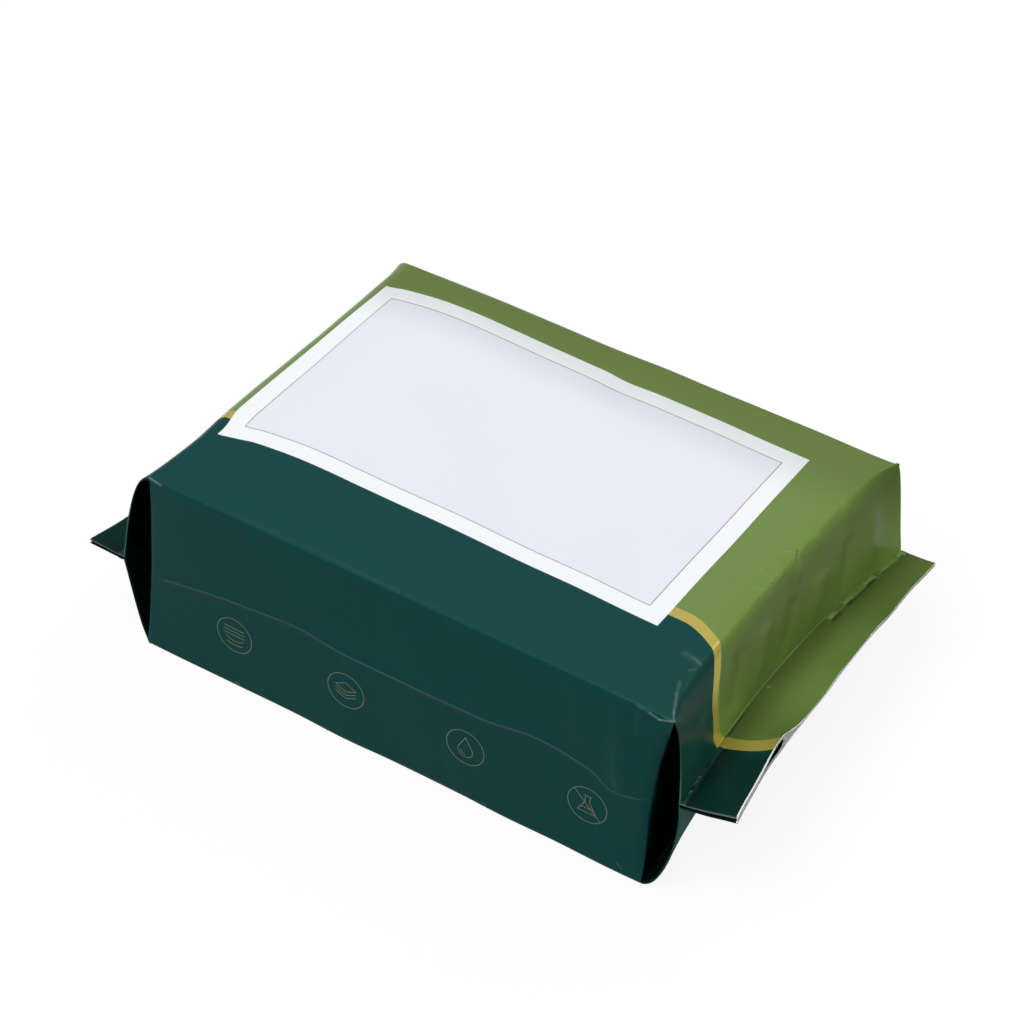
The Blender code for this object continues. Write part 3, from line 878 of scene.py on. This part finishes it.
creaseLook = {
    "frontHalf": 0.6,  # the thin crease across the front
    "frontWhite": 0.14,
    "frontLift": 0.3,
    "frontStart": (-99.0, -94.0),
    "frontStop": (92.0, 98.0),
    "frontUnderFold": 2.0,
    "frontOverFoot": 4.0,
    "flapFrom": (-40.0, -36.0),  # the flaps' edges, from here to the weld
    "flapWhite": 0.1,
    "finFrom": (-1.0, 3.0),  # and the fins', past it
    # a painted highlight along the fins' folded edges
    "finHighlight": 0.7,
    "sheenOver": (-103.0, -99.0),  # a painted dull sheen where the green film turns down over the left end
    "sheenBehind": (-36.0, -32.0),
    "sheenWhite": 0.4,
    "weldHalf": 0.5,  # the thin line where the end film meets the weld
    "weldWhite": 0.16,
    "rightFrom": (100.0, 110.0),  # the weld's own creases are at the right end alone
}
# Sharp creases that the shader draws, whitened partly by pressing and partly with painted highlights and
# glints, and darkened with painted shadow where the whiteness is below 0: from u, v to u, v, half width,
# whiteness and lift
sharpCreases = (
    (90.5, -78.2, 94.9, -79.0, 1.3, 0.12, 0.3),  # at the right shoulder of the front
    (94.9, -79.0, 98.5, -80.1, 0.9, 0.5, 0.5),
    (98.5, -80.1, 103.0, -78.2, 0.8, 0.65, 0.5),
    (96.0, -61.0, 98.2, -66.5, 1.3, 0.14, 0.5),
    (98.2, -66.5, 101.5, -74.0, 1.1, 0.25, 0.6),
    (101.5, -74.0, 103.6, -77.5, 1.0, 0.35, 0.5),
    (91.0, -48.6, 97.2, -50.4, 3.0, 0.1, 0.6),
    (94.0, -49.0, 97.6, -50.2, 1.2, 0.15, 0.4),
    (96.0, -54.8, 97.4, -53.2, 1.2, 0.1, 0.3),
    (91.2, -80.5, 91.4, -89.0, 3.0, 0.02, 0.5),
    (83.5, -97.0, 84.6, -114.0, 6.0, 0.015, 0.5),
    (84.8, -113.6, 85.8, -117.2, 1.8, 0.04, 0.3),
    (88.0, 14.0, 92.7, 14.4, 0.8, 0.2, 0.5),  # on the green shoulder
    (92.7, 14.4, 96.0, 15.6, 0.8, 0.35, 0.6),
    (96.2, 16.6, 97.4, 14.2, 0.9, -0.4, -0.6),
    (97.6, 15.8, 101.0, 12.6, 1.6, 0.22, 0.5),
    (90.4, 1.6, 91.2, 1.2, 0.9, 0.2, 0.3),
    (91.6, 0.9, 97.6, -0.8, 1.9, 0.1, 0.5),
    (98.2, 3.4, 98.3, -1.0, 0.9, 0.2, 0.4),
    (98.0, -1.3, 98.6, -1.0, 0.9, 0.35, 0.3),
    (94.4, -7.3, 100.6, -6.0, 2.9, 0.12, 0.7),
    (77.5, 8.3, 78.3, 8.0, 0.7, 0.2, 0.2),
    (-101.9, -77.4, -96.8, -78.6, 1.1, 0.45, 0.4),  # a painted highlight at the left top corner, then scuffs along the front's lower edge
    (-66.4, -152.8, -65.2, -153.2, 0.8, 0.3, 0.3),
    (36.0, -152.4, 37.4, -152.8, 0.6, 0.2, 0.3),
    (88.6, -150.2, 90.4, -151.4, 0.7, 0.22, 0.3),
)
# The same at the right weld, with painted glints and painted shadows in its cracks: past the weld, v, past
# the weld, v
weldCreases = (
    (1.0, -59.6, 1.6, -59.0, 0.7, 0.4, 0.3),
    (0.9, -63.8, 1.7, -63.0, 0.7, 0.5, 0.3),
    (1.0, -67.0, 1.4, -65.0, 0.6, 0.4, 0.3),
    (0.9, -71.6, 1.8, -70.4, 0.7, 0.5, 0.3),
    (0.4, -77.0, 0.4, -46.5, 0.4, 0.16, 0.2),
    (0.9, -40.2, 0.9, -29.0, 0.9, -0.75, -0.6),
    (0.2, -46.0, 0.6, -41.0, 0.35, -0.5, -0.2),
    (0.1, -38.5, 0.1, -31.0, 0.6, 0.25, 0.4),
    (-1.8, -14.6, -1.2, -13.6, 0.8, 0.9, 0.4),
    (1.2, -12.8, 2.1, -12.3, 0.8, 0.9, 0.4),
    (-0.4, -24.0, 0.0, 10.0, 0.7, 0.14, 0.3),
    (0.1, 29.0, 2.3, 30.0, 0.5, 0.6, 0.3),  # ends of the raised tabs, with painted highlights and shadows
    (0.2, 33.6, 2.3, 34.0, 0.5, -0.5, -0.3),
    (0.1, 39.1, 2.4, 39.3, 0.5, 0.55, 0.3),
    (0.1, 43.4, 2.6, 43.6, 0.5, 0.4, 0.3),
    (0.1, 52.2, 2.4, 52.6, 0.5, 0.5, 0.3),
    (0.1, 57.9, 2.8, 58.3, 0.6, 0.6, 0.3),
    (0.2, 59.0, 2.4, 59.3, 0.5, -0.5, -0.3),
    (0.8, 64.4, 1.6, 67.2, 0.7, -0.4, -0.3),
    (0.1, 71.6, 2.4, 72.0, 0.5, 0.6, 0.3),
    (0.2, 75.2, 2.6, 75.4, 0.5, 0.4, 0.3),
)


def strokeTo(across, up, x0, y0, x1, y1, halfSpan):
    # 1 within halfSpan of the straight line from x0, y0 to x1, y1
    dx, dy = x1 - x0, y1 - y0
    along = ((across - x0) * dx + (up - y0) * dy) / (dx * dx + dy * dy)
    along = along.most(0.0).least(1.0)
    return (across - x0 - along * dx).length(up - y0 - along * dy).line(halfSpan)


def linesIcon(across, up, halfSpan):
    # three level lines over two shallow bows
    marks = (up - 3.216).line(halfSpan)
    for height in (1.616, 0.016):
        marks = marks.most((up - height).line(halfSpan))
    marks = marks * abs(across).under(4.4)
    bow = (across.length(up - 3.4) - 6.0).line(halfSpan) * (up + 1.3).under(0.0)
    lowBow = (across.length(up - 4.6) - 9.0).line(halfSpan) * abs(across).under(3.4) * up.under(0.0)
    return marks.most(bow).most(lowBow)


def layersIcon(across, up, halfSpan):
    # a stack of three flat sheets: a whole rhombus and the lower edges of two more
    slope = 0.5
    steep = 1 / np.hypot(1, slope)

    def rhombus(centre):
        return (abs(across) * slope + abs(up - centre) - 2.1) * steep

    marks = rhombus(1.5).line(halfSpan)
    for centre in (0.0, -1.5):
        marks = marks.most(rhombus(centre).line(halfSpan) * (up - centre).under(0.0))
    return marks


def dropIcon(across, up, halfSpan):
    # a round foot and two straight sides that touch it and meet in a tip
    tip, foot, radius = 4.6, -1.4, 2.9
    sine = radius / (tip - foot)
    cosine = np.sqrt(1 - sine**2)
    sides = abs(across) * cosine + (up - tip) * sine
    touch, soft = foot + radius * sine, 0.05
    upper = up.rise(touch - soft, touch + soft)
    edge = sides * upper + (across.length(up - foot) - radius) * (1 - upper)
    shine = (across.length(up - foot) - radius * 0.6).line(halfSpan)
    shine = shine * across.under(0.0) * (up - foot).under(0.0)
    return edge.line(halfSpan).most(shine)


def flaskIcon(across, up, halfSpan):
    # a flask crossed out by one slanting line
    side = abs(across)
    marks = strokeTo(across, up, -5.2, 5.2, 5.2, -5.2, halfSpan)
    for x0, y0, x1, y1 in ((0.9, 4.0, 0.9, 1.2), (0.9, 1.2, 3.5, -3.4), (0.0, -3.4, 3.5, -3.4),
                           (0.0, -1.4, 2.3, -1.4), (0.0, 4.0, 1.5, 4.0)):
        marks = marks.most(strokeTo(side, up, x0, y0, x1, y1, halfSpan))
    return marks


def foldTo(place, x0, y0, x1, y1, halfSpan):
    # a sharp ridge (1 - distance / halfSpan)^2 beside the line from x0, y0 to x1, y1
    dx, dy = x1 - x0, y1 - y0
    square = dx * dx + dy * dy
    fromStart = place.vector("SUBTRACT", {1: (x0, y0, 0)})
    along = fromStart.vector("DOT_PRODUCT", {1: (dx / square, dy / square, 0)}, 1)
    along = place.node("ShaderNodeClamp", {}, {"Value": along})
    nearest = place.node("ShaderNodeVectorMath", {"operation": "SCALE"}, {0: (dx, dy, 0), "Scale": along})
    ridge = (1 - fromStart.vector("DISTANCE", {1: nearest}, 1) / halfSpan).most(0.0)
    return ridge * ridge


def printMasks(u, v):
    # shares of each ink: behind the gold band is green, before it teal; the panel covers both
    shape = printShape
    centre = shape["bandCentre"]
    for start, stop, swing in (shape["bandTurn"], shape["bandReturn"], shape["bandOnFin"]):
        centre = u.rise(start, stop) * swing + centre
    fromBand = v - centre
    onTop = v.rise(*shape["bandStops"])
    green = fromBand.rise(-shape["soft"], shape["soft"])
    start, stop, wider = shape["bandWider"]
    gold = (abs(fromBand) - u.rise(start, stop) * wider).line(shape["bandHalf"]) * onTop
    middleU = (shape["panelLeft"] + shape["panelRight"]) / 2
    middleV = (shape["panelFront"] + shape["panelBack"]) / 2
    overU = abs(u - middleU) - (shape["panelRight"] - shape["panelLeft"]) / 2
    overV = abs(v - middleV) - (shape["panelBack"] - shape["panelFront"]) / 2
    turnOver, turnBy = shape["cornerTurn"]
    nearLeft = 1 - u.rise(shape["panelLeft"], shape["panelLeft"] + turnOver)
    nearFront = 1 - v.rise(shape["panelFront"], shape["panelFront"] + turnOver)
    overU = overU + nearLeft * nearFront * turnBy
    overV = overV - nearLeft * nearFront * turnBy
    edge = overU.most(overV)
    panel = edge.under(0.0)
    field = edge.under(-shape["borderInset"])
    border = (edge + shape["borderInset"]).line(shape["borderHalf"])
    icons = None
    for place, draw in zip(shape["iconPlaces"], (linesIcon, layersIcon, dropIcon, flaskIcon)):
        across = u - place
        up = v - (frontFoot + shape["iconHeight"])
        near = across.length(up)
        marks = draw(across, up, shape["iconLine"]) * near.under(shape["iconRadius"])
        marks = marks.most((near - shape["iconRadius"]).line(shape["iconLine"]))
        icons = marks if icons is None else icons.most(marks)
    return green, gold, panel, field, border, icons


def creaseMasks(u, v, overCrease, pastWeld):
    # how white the film is pressed and painted with highlights, below 0 where painted shadow darkens it,
    # and how far it stands out
    sums = []
    for creases, across in ((sharpCreases, u), (weldCreases, pastWeld)):
        place = u.node("ShaderNodeCombineXYZ", {}, {"X": across, "Y": v})
        white = lift = 0.0
        for x0, y0, x1, y1, halfSpan, whiteness, rise in creases:
            ridge = foldTo(place, x0, y0, x1, y1, halfSpan)
            white = ridge.math("MULTIPLY_ADD", ridge, whiteness, white)
            lift = ridge.math("MULTIPLY_ADD", ridge, rise, lift)
        sums += [white, lift]
    look = creaseLook
    onRight = u.rise(*look["rightFrom"])
    whitenedAndHighlit = sums[2] * onRight + sums[0]
    lift = sums[3] * onRight + sums[1]
    # the thin crease that the side fold left across the front
    along = u.rise(*look["frontStart"]) * (1 - u.rise(*look["frontStop"]))
    front = 1 - v.rise(frontFold - look["frontUnderFold"], frontFold)
    front = front * v.rise(frontFoot, frontFoot + look["frontOverFoot"])
    crease = (1 - abs(overCrease).rise(0.0, look["frontHalf"])) * along * front
    whitenedAndHighlit = whitenedAndHighlit + crease * look["frontWhite"]
    lift = lift + crease * look["frontLift"]
    # pressed edges of the flaps, and painted highlights on the fins' folded edges
    overEdge = 1 - abs(abs(v) - halfWidth).rise(0.0, printShape["foldLine"])
    flap = overEdge * pastWeld.rise(*look["flapFrom"])
    whitenedAndHighlit = whitenedAndHighlit + flap * (pastWeld.rise(*look["finFrom"]) * look["finHighlight"] + look["flapWhite"])
    sheen = (1 - u.rise(*look["sheenOver"])) * v.rise(*look["sheenBehind"]) * (1 - onRight)
    whitenedAndHighlit = whitenedAndHighlit + sheen * look["sheenWhite"]
    weldLine = 1 - abs(pastWeld).rise(0.0, look["weldHalf"])
    return whitenedAndHighlit + weldLine * look["weldWhite"], lift


def filmMaterial():
    print("printing the film")
    material = bpy.data.materials.new("printedFilm")
    material.use_nodes = True
    tree = material.node_tree
    shader = tree.nodes["Principled BSDF"]
    start = Field(tree)

    def readings(name):
        # an attribute of the mesh, whole and as its three numbers
        place = start.node("ShaderNodeAttribute", {"attribute_name": name}, {}, "Vector")
        parts = [start.node("ShaderNodeSeparateXYZ", {}, {"Vector": place}, out) for out in range(3)]
        return [place, *parts]

    def blend(factor, below, above, how="MIX"):
        sockets = {"Factor": factor, 6: below, 7: above}
        return start.node("ShaderNodeMix", {"data_type": "RGBA", "blend_type": how}, sockets, 2)

    def noise(scale, detail):
        return start.node("ShaderNodeTexNoise", {}, {"Vector": place, "Scale": scale, "Detail": detail}, 0)

    place, u, v, toEdge = readings("film")
    overCrease, pastWeld, shade = readings("wearAndPaintedLight")[1:]
    inside = toEdge.rise(0.4, 0.6)  # 1 on the white inside
    green, gold, panel, field, border, icons = printMasks(u, v)
    wearAndPaintedLight, lift = creaseMasks(u, v, overCrease, pastWeld)
    whitenedAndHighlit = (wearAndPaintedLight * filmFinish["creaseWhite"]).most(0.0).least(1.0)
    # painted shade, lifted on whitened creases and on the gold band, and darkened by painted shadow in dark
    # creases
    lit = (whitenedAndHighlit * filmFinish["creaseLit"]).most(gold * filmFinish["goldLit"])
    shade = shade.math("MULTIPLY_ADD", 1 - shade, lit, shade)
    shade = shade * (1 - (-wearAndPaintedLight).most(0.0).least(1.0) * filmFinish["creaseDark"])

    colours = printColours
    # the top's teal carries a painted sky reflection
    teal = blend(v.rise(frontFold - 1, frontFold + 1), colours["teal"], colours["tealTopPaintedSheen"])
    colour = blend(green, teal, colours["green"])
    colour = blend(gold, colour, colours["gold"])
    colour = blend(icons, colour, colours["icon"])
    colour = blend(panel, colour, colours["margin"])
    colour = blend(field, colour, colours["panel"])
    colour = blend(border, colour, colours["border"])
    # painted shade: the end film's ink is tinted deeper
    onEnd = pastWeld.rise(*filmFinish["deepOver"]) * (1 - panel)
    colour = blend(onEnd, colour, filmFinish["deep"], "MULTIPLY")
    # pressed whitening with painted highlights
    whiteningAndHighlight = blend(green, colours["pressed"], colours["stretched"])
    colour = blend(whitenedAndHighlit, colour, whiteningAndHighlight)
    # the painted shade darkens the ink
    grey = start.node("ShaderNodeCombineXYZ", {}, {"X": shade, "Y": shade, "Z": shade})
    colour = blend(1.0, colour, grey, "MULTIPLY")
    fromEdge = -(toEdge + (1 - v.rise(*printShape["edgeNarrows"])) * printShape["edgeWider"])
    edge, soft = printShape["edgeLine"], printShape["edgeSoft"]
    edgeLine = 1 - fromEdge.rise(edge - soft, edge + soft)
    colour = blend(edgeLine.most(inside), colour, colours["inside"])
    tree.links.new(colour.socket, shader.inputs["Base Color"])

    printed = 1 - inside
    metallic = (gold.most(icons) * (1 - panel) * filmFinish["goldMetallic"]) * printed
    tree.links.new(metallic.socket, shader.inputs["Metallic"])
    uneven = noise(filmFinish["unevenScale"], 3.0)
    roughness = (uneven - 0.5) * filmFinish["unevenness"] + filmFinish["roughness"]
    roughness = roughness + panel * (filmFinish["panelRoughness"] - filmFinish["roughness"])
    tree.links.new(roughness.socket, shader.inputs["Roughness"])
    shader.inputs["Specular IOR Level"].default_value = filmFinish["specular"]
    tree.links.new((whitenedAndHighlit * filmFinish["creaseCoat"]).socket, shader.inputs["Coat Weight"])
    shader.inputs["Coat Roughness"].default_value = filmFinish["coatRoughness"]

    fine = noise(filmFinish["microScale"], 4.0)
    slack = noise(filmFinish["slackScale"], 2.0)
    height = fine * filmFinish["microBump"] + slack * filmFinish["slackBump"]
    height = (height + lift * filmFinish["creaseBump"]) * printed
    bump = start.node("ShaderNodeBump", {}, {"Strength": 1.0, "Distance": mm, "Height": height}, 0)
    tree.links.new(bump.socket, shader.inputs["Normal"])
    return material


wrapper = makeWrapper()
wrapper.data.materials.append(filmMaterial())
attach(wrapper, "root")
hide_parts("towel_pack")

# Floor, light and camera
studio = {
    "floorHalf": 30.0,  # metres
    "floorSeen": (0.97, 0.97, 0.972, 1),
    "floorLit": (0.22, 0.22, 0.22, 1),  # what it throws back on the pack
    "floorGlow": 0.9,  # share of plain white in what the camera sees of it
    "sunStrength": 2.1,
    "sunAngle": 35,
    "sunFrom": (-0.1, -0.62, 1.0),
    "skyLow": 0.05,
    "skyHigh": 0.54,
    "backLight": 2.6,
    "backFrom": (0.1, 0.66, 0.74),
    "backDistance": 1.6,
    "backSize": 0.7,
}
camera = {
    "azimuth": 30.574,
    "elevation": 39.619,
    "roll": 3.2,
    "distance": 1.05223,  # metres from the point that the picture's middle shows
    "target": (-0.016288, 0.019593, 0.0378),
    "focal": 2954.34,  # pixels, in a picture 1024 wide
    "sensor": 36.0,
}


def makeFloor():
    print("laying the floor")
    half = studio["floorHalf"]
    corners = [(-half, -half, 0), (half, -half, 0), (half, half, 0), (-half, half, 0)]
    mesh = bpy.data.meshes.new("floor")
    mesh.from_pydata(corners, [], [(0, 1, 2, 3)])
    material = bpy.data.materials.new("paleFloor")
    material.use_nodes = True
    tree = material.node_tree
    shader = tree.nodes["Principled BSDF"]
    start = Field(tree)
    seen = start.node("ShaderNodeLightPath", {}, {}, "Is Camera Ray")
    seen = seen.most(start.node("ShaderNodeLightPath", {}, {}, "Is Glossy Ray"))
    seen = seen.most(start.node("ShaderNodeLightPath", {}, {}, "Is Transmission Ray"))
    sockets = {"Factor": seen, 6: studio["floorLit"], 7: studio["floorSeen"]}
    colour = start.node("ShaderNodeMix", {"data_type": "RGBA"}, sockets, 2)
    tree.links.new(colour.socket, shader.inputs["Base Color"])
    shader.inputs["Roughness"].default_value = 0.9
    shader.inputs["Specular IOR Level"].default_value = 0.0
    glow = start.node("ShaderNodeEmission", {}, {"Color": (1, 1, 1, 1)})
    plain = start.node("ShaderNodeLightPath", {}, {}, "Is Camera Ray") * studio["floorGlow"]
    mixed = start.node("ShaderNodeMixShader", {}, {0: plain, 1: Field(tree, shader.outputs[0]), 2: glow})
    tree.links.new(mixed.socket, tree.nodes["Material Output"].inputs["Surface"])
    mesh.materials.append(material)
    floor = bpy.data.objects.new("floor", mesh)
    bpy.context.scene.collection.objects.link(floor)


def makeLight():
    print("lighting")
    world = bpy.data.worlds.new("sky")
    world.use_nodes = True
    bpy.context.scene.world = world
    tree = world.node_tree
    start = Field(tree)
    direction = start.node("ShaderNodeTexCoord", {}, {}, "Generated")
    height = start.node("ShaderNodeSeparateXYZ", {}, {"Vector": direction}, "Z")
    strength = height.most(0.0) * (studio["skyHigh"] - studio["skyLow"]) + studio["skyLow"]
    tree.links.new(strength.socket, tree.nodes["Background"].inputs["Strength"])
    tree.nodes["Background"].inputs["Color"].default_value = (1, 1, 1, 1)

    sun = bpy.data.lights.new("sun", "SUN")
    sun.energy = studio["sunStrength"]
    sun.angle = np.radians(studio["sunAngle"])
    lamp = bpy.data.objects.new("sun", sun)
    lamp.rotation_euler = Vector(studio["sunFrom"]).to_track_quat("Z", "Y").to_euler()
    bpy.context.scene.collection.objects.link(lamp)

    panel = bpy.data.lights.new("backLight", "AREA")
    panel.energy = studio["backLight"]
    panel.size = studio["backSize"]
    lamp = bpy.data.objects.new("backLight", panel)
    direction = Vector(studio["backFrom"]).normalized()
    lamp.location = direction * studio["backDistance"]
    lamp.rotation_euler = direction.to_track_quat("Z", "Y").to_euler()
    bpy.context.scene.collection.objects.link(lamp)


def makeCamera():
    print("placing the camera")
    azimuth, elevation = np.radians(camera["azimuth"]), np.radians(camera["elevation"])
    flat = np.cos(elevation)
    away = Vector((np.sin(azimuth) * flat, -np.cos(azimuth) * flat, np.sin(elevation)))
    level = (-away).cross(Vector((0, 0, 1))).normalized()
    upright = level.cross(-away)
    roll = np.radians(camera["roll"])
    right = level * np.cos(roll) + upright * np.sin(roll)
    up = upright * np.cos(roll) - level * np.sin(roll)
    lens = bpy.data.cameras.new("camera")
    lens.sensor_width = camera["sensor"]
    lens.lens = camera["focal"] / 1024 * camera["sensor"]
    lens.clip_end = 100
    view = bpy.data.objects.new("camera", lens)
    turned = Matrix((right, up, away)).transposed()
    place = Vector(camera["target"]) + away * camera["distance"]
    view.matrix_world = Matrix.LocRotScale(place, turned, None)
    bpy.context.scene.collection.objects.link(view)
    bpy.context.scene.camera = view


makeFloor()
makeLight()
makeCamera()
bpy.context.scene.view_settings.view_transform = "Standard"

print("done")
